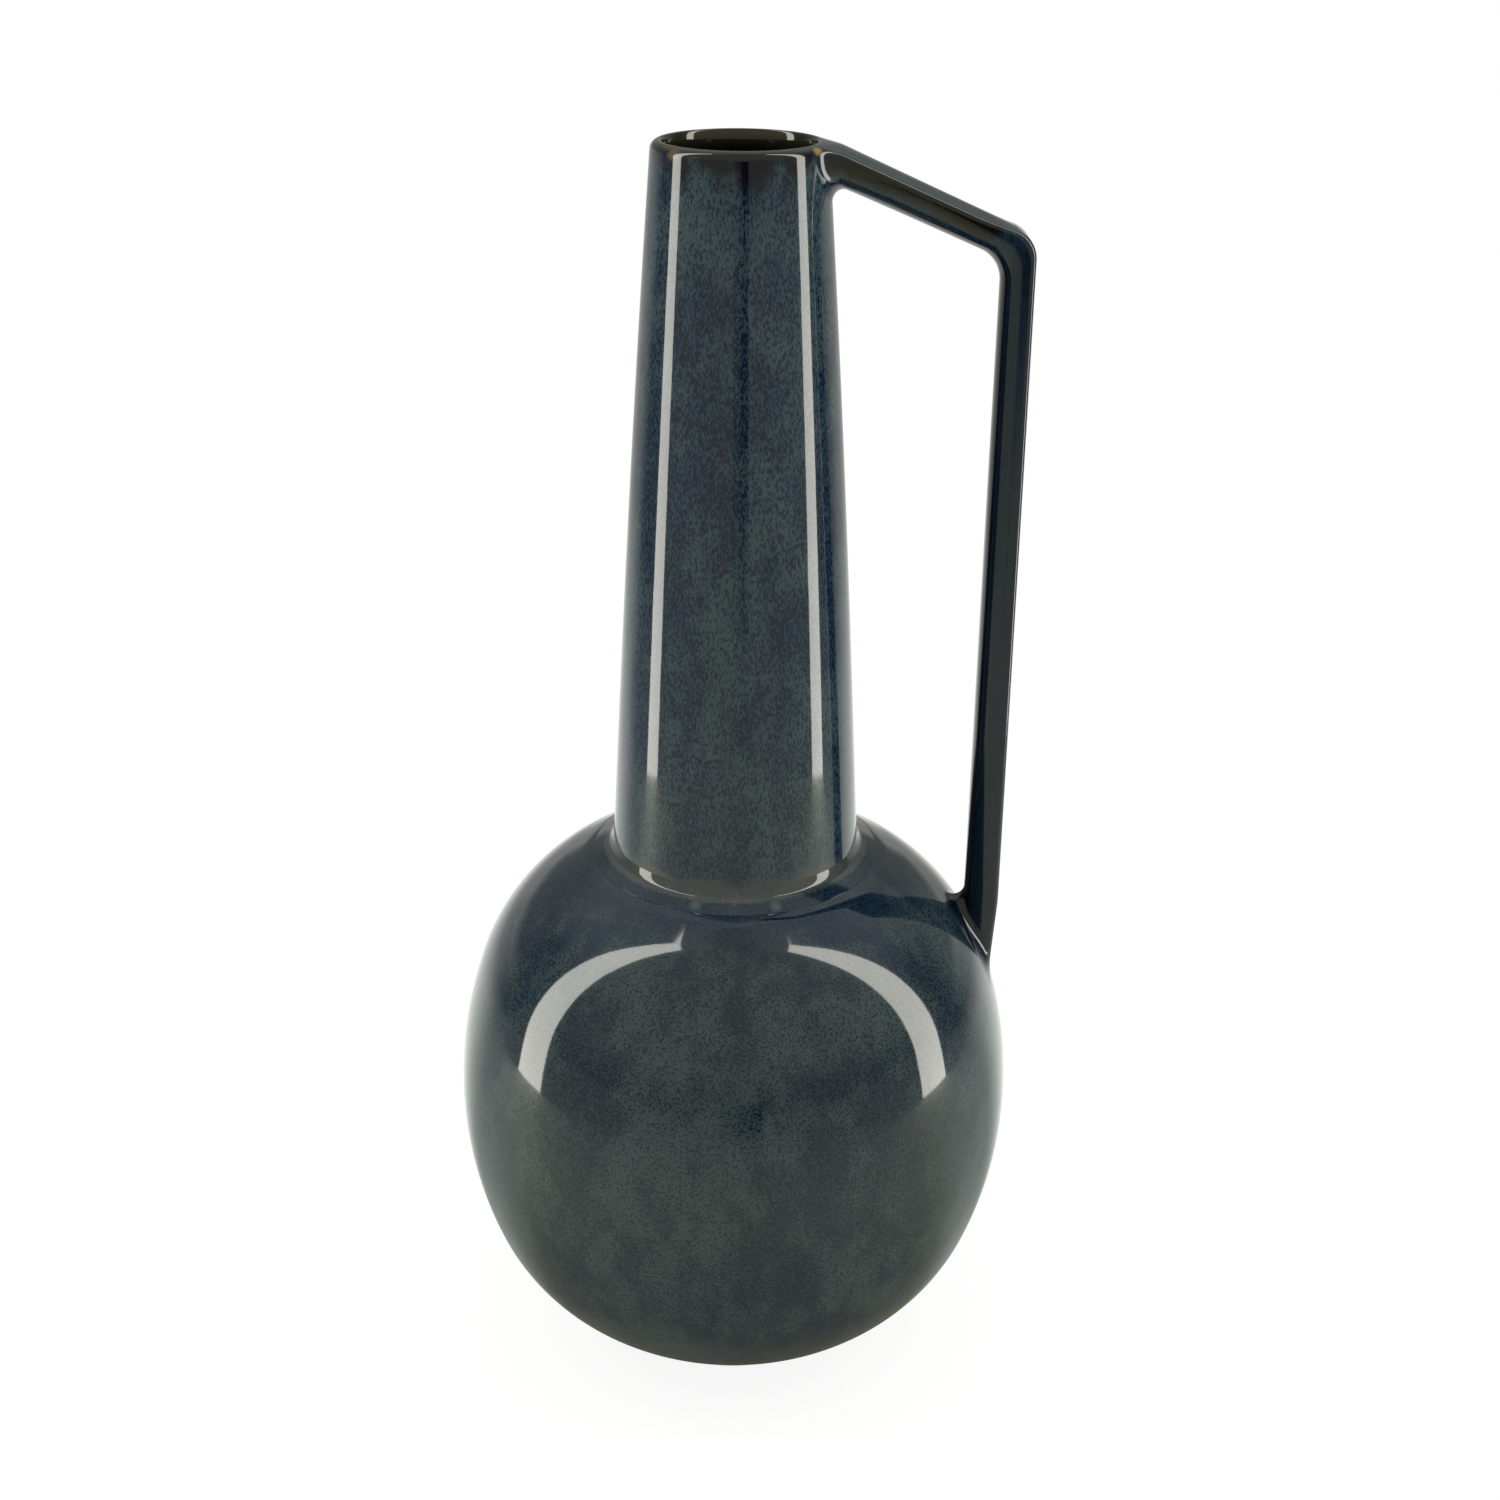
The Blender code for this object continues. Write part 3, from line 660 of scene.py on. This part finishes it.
def glaze(name, fleck_scale, stretch_z, fleck_low, fleck_high, clear, blue, shade):
    """Gloss reactive glaze: fine navy flecks over a ground that drifts between two colours."""
    material, s = new_material(name)
    position = s.node("ShaderNodeTexCoord").outputs["Object"]
    parts = s.node("ShaderNodeSeparateXYZ")
    s.feed(parts.inputs[0], position)
    z = parts.outputs[2]
    streaked = s.stretch(position, (1.0, 1.0, stretch_z))
    flecks = s.noise(streaked, fleck_scale, 3.0, 0.72)
    clouds = s.noise(s.stretch(position, (1.0, 1.0, 0.7)), 24.0, 3.0, 0.55, 0.3)
    patches = s.noise(s.stretch(position, (1.0, 1.0, 0.6)), 105.0, 2.0, 0.5)
    drift = s.math("ADD", s.math("MULTIPLY", clouds, 0.55), s.math("MULTIPLY", patches, 0.45))
    cover = s.step(drift, 0.38, 0.62, -0.035, 0.035)
    fleck = s.step(s.math("ADD", flecks, cover), fleck_low, fleck_high)
    ground = s.mix(s.step(drift, 0.40, 0.60), clear, blue)
    colour = s.mix(s.math("MULTIPLY", fleck, shade), ground, NAVY)
    return material, s, position, colour, z, patches


def finish_glaze(s, position, colour, roughness, wave_scale):
    """Feeds the colour to a gloss shader with the faint waviness of a fired glaze."""
    wave = s.noise(position, wave_scale, 2.0, 0.5)
    bump = s.node("ShaderNodeBump")
    bump.inputs["Strength"].default_value = 1.0
    bump.inputs["Distance"].default_value = WAVE_DEPTH
    s.feed(bump.inputs["Height"], wave)
    shader = s.node("ShaderNodeBsdfPrincipled")
    s.feed(shader.inputs["Roughness"], roughness)
    shader.inputs["IOR"].default_value = 1.5
    s.feed(shader.inputs["Base Color"], colour)
    s.feed(shader.inputs["Normal"], bump.outputs[0])
    out = s.node("ShaderNodeOutputMaterial")
    s.feed(out.inputs[0], shader.outputs[0])


def gold_and_glint_spot(s, position, colour):
    """The small gold spot on the lip beside the handle's root, over neck and slip alike: partly gold
    glaze, partly a painted glint.
    """
    gold = s.flat_spot(position, GOLD_AND_GLINT_SPOT, 1.5, 0.7 * MM, 3.0 * MM)
    return s.mix(s.math("MULTIPLY", gold, 0.9), colour, GOLD)


def make_glaze_neck():
    material, s, position, colour, z, patches = glaze(
        "glaze_neck", 1400.0, 0.42, 0.47, 0.545, CLEAR, BLUE, 0.95)
    thin = s.attribute("thin")
    ragged = s.math("ADD", z, s.step(patches, 0.3, 0.7, -0.0045, 0.0045))
    rim = s.math("MULTIPLY", s.step(ragged, *RIM_BAND), s.step(patches, 0.36, 0.50, 0.75, 1.0))
    colour = s.mix(rim, colour, RIM)
    colour = s.mix(s.step(thin, 0.15, 0.5), colour, BROWN)
    # Olive only near the lip; deeper in the bore the colour stays near-black brown, which is thinned
    # glaze and partly painted shade.
    mouth = s.math("MULTIPLY", s.step(thin, 0.85, 0.95), s.step(z, *MOUTH_BAND))
    colour = s.mix(mouth, colour, OLIVE)
    # A tan spot on the lip: partly thin tan glaze, partly a painted glint.
    tan = s.flat_spot(position, TAN_AND_GLINT_SPOT, 2.0, 0.8 * MM, 4.4 * MM)
    colour = s.mix(s.math("MULTIPLY", tan, 0.8), colour, TAN)
    colour = gold_and_glint_spot(s, position, colour)
    foot = s.math("ADD", z, s.step(patches, 0.3, 0.7, -0.0012, 0.0012))
    colour = s.mix(s.step(foot, *FOOT_FADE, 0.0, 0.7), colour, CREAM)
    finish_glaze(s, position, colour, GLOSS, 70.0)
    return material


def shoulder_glaze(name):
    """The globe's glaze: pooled and specked high up, navy low down as painted shade, two painted
    reflections by the seam.
    """
    material, s, position, colour, z, patches = glaze(
        name, 1250.0, 0.85, 0.475, 0.55, GREEN, TEAL, 1.0)
    high = s.math("ADD", z, s.step(patches, 0.3, 0.7, -0.006, 0.006))
    speckle = s.noise(position, 1250.0, 3.0, 0.72)
    pooled = s.mix(s.step(speckle, 0.44, 0.56), HAZE, POOL)
    colour = s.mix(s.step(high, *POOL_HEIGHTS, 0.0, 0.85), colour, pooled)
    # Painted shade: the globe darkens to navy towards the bottom, where it turns under towards the
    # table.
    low = s.math("ADD", z, s.step(patches, 0.3, 0.7, -0.004, 0.004))
    colour = s.mix(s.step(low, *BELLY_SHADE_HEIGHTS, 0.0, 0.65), colour, NAVY)
    # Two painted reflections of the strip lights: pale spots on the glaze below the seam.
    for centre in STRIP_REFLECTION_PLACES:
        reflection_spot = s.spot(position, centre, 1.2 * MM, 3.6 * MM)
        colour = s.mix(s.math("MULTIPLY", reflection_spot, 0.75), colour, STRIP_REFLECTION_PAINT)
    return material, s, position, colour


def make_glaze_body():
    material, s, position, colour = shoulder_glaze("glaze_body")
    colour = s.mix(s.attribute("thin"), colour, BROWN)
    finish_glaze(s, position, colour, GLOSS, 60.0)
    return material


def make_glaze_handle():
    material, s, position, colour, z, patches = glaze(
        "glaze_handle", 1150.0, 0.42, 0.42, 0.58, TEAL, BLUE, 0.85)
    thin = s.attribute("thin")
    colour = s.mix(s.step(z, *ELBOW_HEIGHTS, 0.0, 0.8), colour, NAVY)
    worn = s.math("ADD", thin, s.step(patches, 0.3, 0.7, -0.10, 0.10))
    colour = s.mix(s.step(worn, 0.32, 0.58), colour, BROWN)
    colour = s.mix(s.step(thin, 0.10, -0.20, 0.0, 0.95), colour, INK)
    colour = s.mix(s.step(thin, 0.86, 0.99, 0.0, 0.9), colour, TAN)
    colour = gold_and_glint_spot(s, position, colour)
    finish_glaze(s, position, colour, GLOSS, 90.0)
    return material


def make_glaze_break():
    """The glaze broken to cream over the seam's slip, with the shoulder's glaze further out."""
    material, s, position, pooled = shoulder_glaze("glaze_break")
    flecks = s.noise(position, 1250.0, 2.0, 0.6)
    clouds = s.noise(position, 110.0, 3.0, 0.6)
    colour = s.mix(s.step(clouds, 0.35, 0.65), CREAM, DULL_CREAM)
    colour = s.mix(s.step(flecks, 0.48, 0.62, 0.0, 0.5), colour, TEAL)
    pool = s.math("ADD", s.attribute("thin"), s.step(clouds, 0.3, 0.7, -0.12, 0.12))
    pool = s.math("ADD", pool, s.step(flecks, 0.3, 0.7, -0.3, 0.3))
    colour = s.mix(s.step(pool, 0.25, 0.80), colour, pooled)
    finish_glaze(s, position, colour, SEAM_GLOSS, 110.0)
    return material


def make_bare_clay():
    material, s = new_material("bare_clay")
    position = s.node("ShaderNodeTexCoord").outputs["Object"]
    grit = s.noise(position, 1400.0, 4.0, 0.65)
    clouds = s.noise(position, 120.0, 3.0, 0.55)
    colour = s.mix(s.step(clouds, 0.3, 0.7), CLAY, DARK_CLAY)
    colour = s.mix(s.step(grit, 0.55, 0.7, 0.0, 0.5), colour, GRIT)
    bump = s.node("ShaderNodeBump")
    bump.inputs["Strength"].default_value = 0.6
    bump.inputs["Distance"].default_value = GRIT_DEPTH
    s.feed(bump.inputs["Height"], grit)
    shader = s.node("ShaderNodeBsdfPrincipled")
    shader.inputs["Roughness"].default_value = 0.9
    s.feed(shader.inputs["Base Color"], colour)
    s.feed(shader.inputs["Normal"], bump.outputs[0])
    out = s.node("ShaderNodeOutputMaterial")
    s.feed(out.inputs[0], shader.outputs[0])
    return material


# ---- Pieces ----
def make_globe(material):
    outside = globe_side(0.0, COLLAR_HEIGHT, BASE_HEIGHT, 44)
    floor = BASE_HEIGHT + FLOOR_THICKNESS
    under_collar = COLLAR_HEIGHT - COLLAR_THICKNESS
    inside = globe_side(-GLOBE_WALL, under_collar, floor, 20)
    bore = SPIGOT_RADIUS + GAP
    outline = [(0.0, floor)] + inside[::-1]
    outline += [(bore, under_collar), (bore, COLLAR_HEIGHT)]
    outline += outside + [(0.0, BASE_HEIGHT)]

    def thin_at(index, point):
        return smooth(*BASE_HEIGHTS, point.z) * 0.9

    turned("globe_glazed", outline, False, thin_at, material, ["globe_body"])


def make_neck(material):
    """The neck; thin is 1 from the lip's crest down the bore, and fades in over the lip's outside."""
    spigot_end = COLLAR_HEIGHT + GAP - SPIGOT_LENGTH
    outline = [(SPIGOT_RADIUS, spigot_end), (SPIGOT_RADIUS, COLLAR_HEIGHT + GAP)]
    outline += neck_side(72)
    outline += lip_outside(LIP_STEPS)[1:]
    outline += lip_inside(LIP_STEPS)[1:]
    inside_top = outline[-1]
    foot = (BORE_FOOT_RADIUS, COLLAR_HEIGHT + GAP)
    bore_start = len(outline) - LIP_STEPS - 1
    for k in range(1, BORE_STEPS):
        t = k / BORE_STEPS
        outline.append((inside_top[0] + (foot[0] - inside_top[0]) * t,
                        inside_top[1] + (foot[1] - inside_top[1]) * t))
    outline += [foot, (BORE_FOOT_RADIUS, spigot_end)]

    def thin_at(index, point):
        if index >= bore_start:
            return 1.0
        return 0.75 * smooth(*LIP_BAND, point.z)

    turned("neck_glazed", outline, True, thin_at, material, ["neck"])


def make_foot(material):
    top = BASE_HEIGHT + UNDERLAP
    outline = [(FOOT_INNER_RADIUS, top), (FOOT_TOP_RADIUS, top)]
    outline += [(FOOT_OUTER_RADIUS, FOOT_BEVEL + 0.4 * MM)]
    outer = (FOOT_OUTER_RADIUS - FOOT_BEVEL, FOOT_BEVEL)
    outline += arc(outer, FOOT_BEVEL, 0.0, -90.0, 6)
    inner = (FOOT_INNER_RADIUS + FOOT_BEVEL, FOOT_BEVEL)
    outline += arc(inner, FOOT_BEVEL, -90.0, -180.0, 6)
    turned("foot_ring_clay", outline, True, lambda index, point: 0.0, material,
           ["foot_ring"])


def make_seam(material):
    """Raised band of slip round the neck's foot; thin is how deep the blue glaze pools against it."""
    top = (neck_radius(SEAM_TOP), SEAM_TOP)
    toe = (SEAM_TOE, shoulder_height(0.0, SEAM_TOE) + SEAM_LIFT)
    rise = (SEAM_TOE - SEAM_BROW_RADIUS) * math.tan(math.radians(SEAM_SLOPE))
    brow = (SEAM_BROW_RADIUS, toe[1] + rise)
    band = curve(top, SEAM_TOP_SLOPE, SEAM_TOP_PULL, brow, SEAM_SLOPE, SEAM_BROW_PULL)
    band += curve(brow, SEAM_SLOPE, SEAM_BROW_PULL, toe, SEAM_SLOPE, SEAM_TOE_PULL)[1:]
    outline = [(p.x, p.y) for p in band]
    outline += [(SEAM_TOE, toe[1] - UNDERLAP), (NECK_FOOT_RADIUS - UNDERLAP, COLLAR_HEIGHT - UNDERLAP)]
    outline.append((top[0] - UNDERLAP, SEAM_TOP))

    def thin_at(index, point):
        radius = math.hypot(point.x, point.y)
        return smooth(*POOL_EDGE, radius)

    turned("seam_slip", outline, True, thin_at, material, ["neck_seam_fillet"])


def make_handle(material):
    """The bar, whose ends reach a little way into neck and globe, and its two rings of slip."""
    sections = bar_sections()
    globe = Outline(globe_side(0.0, COLLAR_HEIGHT, BASE_HEIGHT, 90))
    neck = Outline(neck_side(60) + lip_outside(24)[1:])
    last = len(sections) - 1
    first = sum(HANDLE_STEPS[:-1])
    for k in range(len(sections[0])):
        line = [section[k][0] for section in sections][::-1]
        stop = landing(globe, line, -HANDLE_SINK)[1]
        head = sections[first][k][0]
        for i in range(first + 1, last + 1):
            t = (i - first) / (last - first)
            sections[i][k] = (head.lerp(stop, t), *sections[i][k][1:])
    loops = [[point for point, _, _ in section] for section in sections]
    thins = [[weight for _, _, weight in section] for section in sections]
    lofted("handle_bar", loops, thins, False, material, ["handle"])
    sections = bar_sections()
    slip_fillet("handle_root_slip", neck, sections, ROOT_REACH, ROOT_ROUND, 0.15, material,
                ["handle_upper_fillet"])
    slip_fillet("handle_foot_slip", globe, sections[::-1], FOOT_END_REACH, FOOT_END_ROUND,
                1.0, material, ["handle_lower_fillet"])


# ---- Studio ----
STRIP_RADIANCE = 8.0
STRIP_COLOUR = (1.0, 0.98, 0.895)
STRIP_X = 0.69
STRIP_WIDTH = 0.163
STRIP_HEIGHT = 2.42
STRIP_LEFT_Y = -0.0765
STRIP_RIGHT_Y = -0.092

# What the gloss sees: the brightness of each part of the studio, where 1 is plain white.
BACK_WALL = 0.75
BACK_FLOOR = 0.44
FRONT_FLOOR = 0.80
SIDE_FLOOR = 0.34
SIDE_ABOVE = 0.55
ROOM = (0.66, 0.68, 0.50)        # colour of the warm room in front of the vase
SIDE = (0.90, 1.0, 1.0)          # light from the studio's sides
GAP_SIDES = (-0.085, 0.205)      # x per metre of -y: the dark opening in front of the vase
GAP_SOFTNESS = 0.015
TABLE = (0.84, 0.84, 0.84)
TABLE_GLOW = (1.03, 1.03, 1.03)
TABLE_HALF_SIZE = 12.0


def make_strip(name, x, y):
    """A tall narrow panel of light beside the vase, seen in the glaze as a bright line."""
    data = bpy.data.lights.new(name, "AREA")
    data.shape = "RECTANGLE"
    data.size = STRIP_HEIGHT
    data.size_y = STRIP_WIDTH
    data.energy = STRIP_RADIANCE * math.pi * STRIP_WIDTH * STRIP_HEIGHT
    data.color = STRIP_COLOUR
    light = bpy.data.objects.new(name, data)
    bpy.context.scene.collection.objects.link(light)
    light.location = (x, y, STRIP_HEIGHT / 2.0)
    light.rotation_euler = (0.0, math.copysign(math.pi / 2.0, x), 0.0)
    light.visible_camera = False


def gap_factor(s, x, y):
    """How dark the opening is in the direction (x, y): 0 outside its sides, 1 in its right half."""
    ratio = s.math("DIVIDE", x, s.math("MAXIMUM", s.math("MULTIPLY", y, -1.0), 0.001))
    low, high = GAP_SIDES
    left = s.step(ratio, low - GAP_SOFTNESS, low + GAP_SOFTNESS)
    right = s.step(ratio, high - GAP_SOFTNESS, high + GAP_SOFTNESS, 1.0, 0.0)
    return s.math("MULTIPLY", s.math("MULTIPLY", left, right), s.step(ratio, 0.0, 0.09, 0.5, 1.0))


def studio_gloss(s, x, y):
    """Shares of the studio's back, front and sides in the direction (x, y), and its length."""
    flat = s.math("SQRT", s.math("ADD", s.math("MULTIPLY", x, x), s.math("MULTIPLY", y, y)))
    ahead = s.math("DIVIDE", y, s.math("MAXIMUM", flat, 0.001))
    behind = s.step(ahead, 0.30, 0.66)
    before = s.step(ahead, -0.35, 0.30, 1.0, 0.3)
    beside = s.step(ahead, -0.45, 0.10)
    return behind, before, beside, flat


def make_world():
    """Even pale light for the clay; in the gloss, a bright studio behind and a dim one in front."""
    world = bpy.data.worlds.new("studio")
    bpy.context.scene.world = world
    world.use_nodes = True
    s = Shader(world.node_tree)
    direction = s.node("ShaderNodeTexCoord").outputs["Generated"]
    parts = s.node("ShaderNodeSeparateXYZ")
    s.feed(parts.inputs[0], direction)
    x, y, z = parts.outputs
    behind, before, beside, _ = studio_gloss(s, x, y)
    high = s.step(z, 0.0, 0.13, 0.8, 0.22)
    back = s.math("MULTIPLY", s.math("MULTIPLY", behind, high), BACK_WALL)
    low_gap = s.math("MULTIPLY", gap_factor(s, x, y), s.step(z, 0.02, 0.08, 1.0, 0.0))
    front = s.math("MULTIPLY", s.step(z, 0.0, 0.35, 0.60, 0.9), s.math("SUBTRACT", 1.0, low_gap))
    front = s.mix(s.math("MULTIPLY", front, before), (0.0, 0.0, 0.0), ROOM)
    glossy = s.mix(1.0, front, back, "ADD")
    above = s.math("MULTIPLY", beside, s.step(z, 0.35, 0.75, 0.0, SIDE_ABOVE))
    glossy = s.mix(above, glossy, SIDE, "ADD")
    path = s.node("ShaderNodeLightPath")
    value = s.mix(path.outputs["Is Glossy Ray"], (1.0, 1.0, 1.0), glossy)
    background = s.node("ShaderNodeBackground")
    s.feed(background.inputs[0], value)
    out = s.node("ShaderNodeOutputWorld")
    s.feed(out.inputs[0], background.outputs[0])


def make_floor():
    """A plain white table, dimmer in the gloss in front of the vase than behind it."""
    mesh = bpy.data.meshes.new("floor")
    size = TABLE_HALF_SIZE
    mesh.from_pydata([(-size, -size, 0.0), (size, -size, 0.0), (size, size, 0.0), (-size, size, 0.0)],
                     [], [(0, 1, 2, 3)])
    floor = bpy.data.objects.new("floor", mesh)
    bpy.context.scene.collection.objects.link(floor)
    material, s = new_material("floor_paper")
    position = s.node("ShaderNodeTexCoord").outputs["Object"]
    parts = s.node("ShaderNodeSeparateXYZ")
    s.feed(parts.inputs[0], position)
    x, y, _ = parts.outputs
    gap = s.math("MULTIPLY", gap_factor(s, x, y), s.step(y, -2.4, -0.5, 0.95, 0.0))
    behind, before, beside, flat = studio_gloss(s, x, y)
    front = s.math("MULTIPLY", s.math("MULTIPLY", before, FRONT_FLOOR), s.math("SUBTRACT", 1.0, gap))
    # In the gloss the table darkens close to the vase: a painted shadow round its foot.
    front = s.math("MULTIPLY", front, s.step(flat, 0.08, 0.28, 0.48, 1.0))
    front = s.mix(front, (0.0, 0.0, 0.0), ROOM)
    ground = s.mix(1.0, front, s.math("MULTIPLY", behind, BACK_FLOOR), "ADD")
    nearby = s.math("MULTIPLY", beside, s.step(flat, 0.50, 1.40, SIDE_FLOOR, 0.0))
    ground = s.mix(nearby, ground, SIDE, "ADD")
    path = s.node("ShaderNodeLightPath")
    colour = s.mix(path.outputs["Is Glossy Ray"], TABLE, ground)
    paper = s.node("ShaderNodeBsdfDiffuse")
    s.feed(paper.inputs[0], colour)
    glow = s.node("ShaderNodeEmission")
    s.feed(glow.inputs[0], TABLE_GLOW)
    blend = s.node("ShaderNodeMixShader")
    s.feed(blend.inputs[0], s.math("MULTIPLY", path.outputs["Is Camera Ray"], 0.85))
    s.feed(blend.inputs[1], paper.outputs[0])
    s.feed(blend.inputs[2], glow.outputs[0])
    out = s.node("ShaderNodeOutputMaterial")
    s.feed(out.inputs[0], blend.outputs[0])
    floor.data.materials.append(material)


make_camera()
glaze_body = make_glaze_body()
glaze_neck = make_glaze_neck()
glaze_handle = make_glaze_handle()
make_globe(glaze_body)
make_neck(glaze_neck)
make_seam(make_glaze_break())
make_handle(glaze_handle)
make_foot(make_bare_clay())
make_strip("strip_left", -STRIP_X, STRIP_LEFT_Y)
make_strip("strip_right", STRIP_X, STRIP_RIGHT_Y)
make_world()
make_floor()
bpy.context.scene.view_settings.view_transform = "Standard"
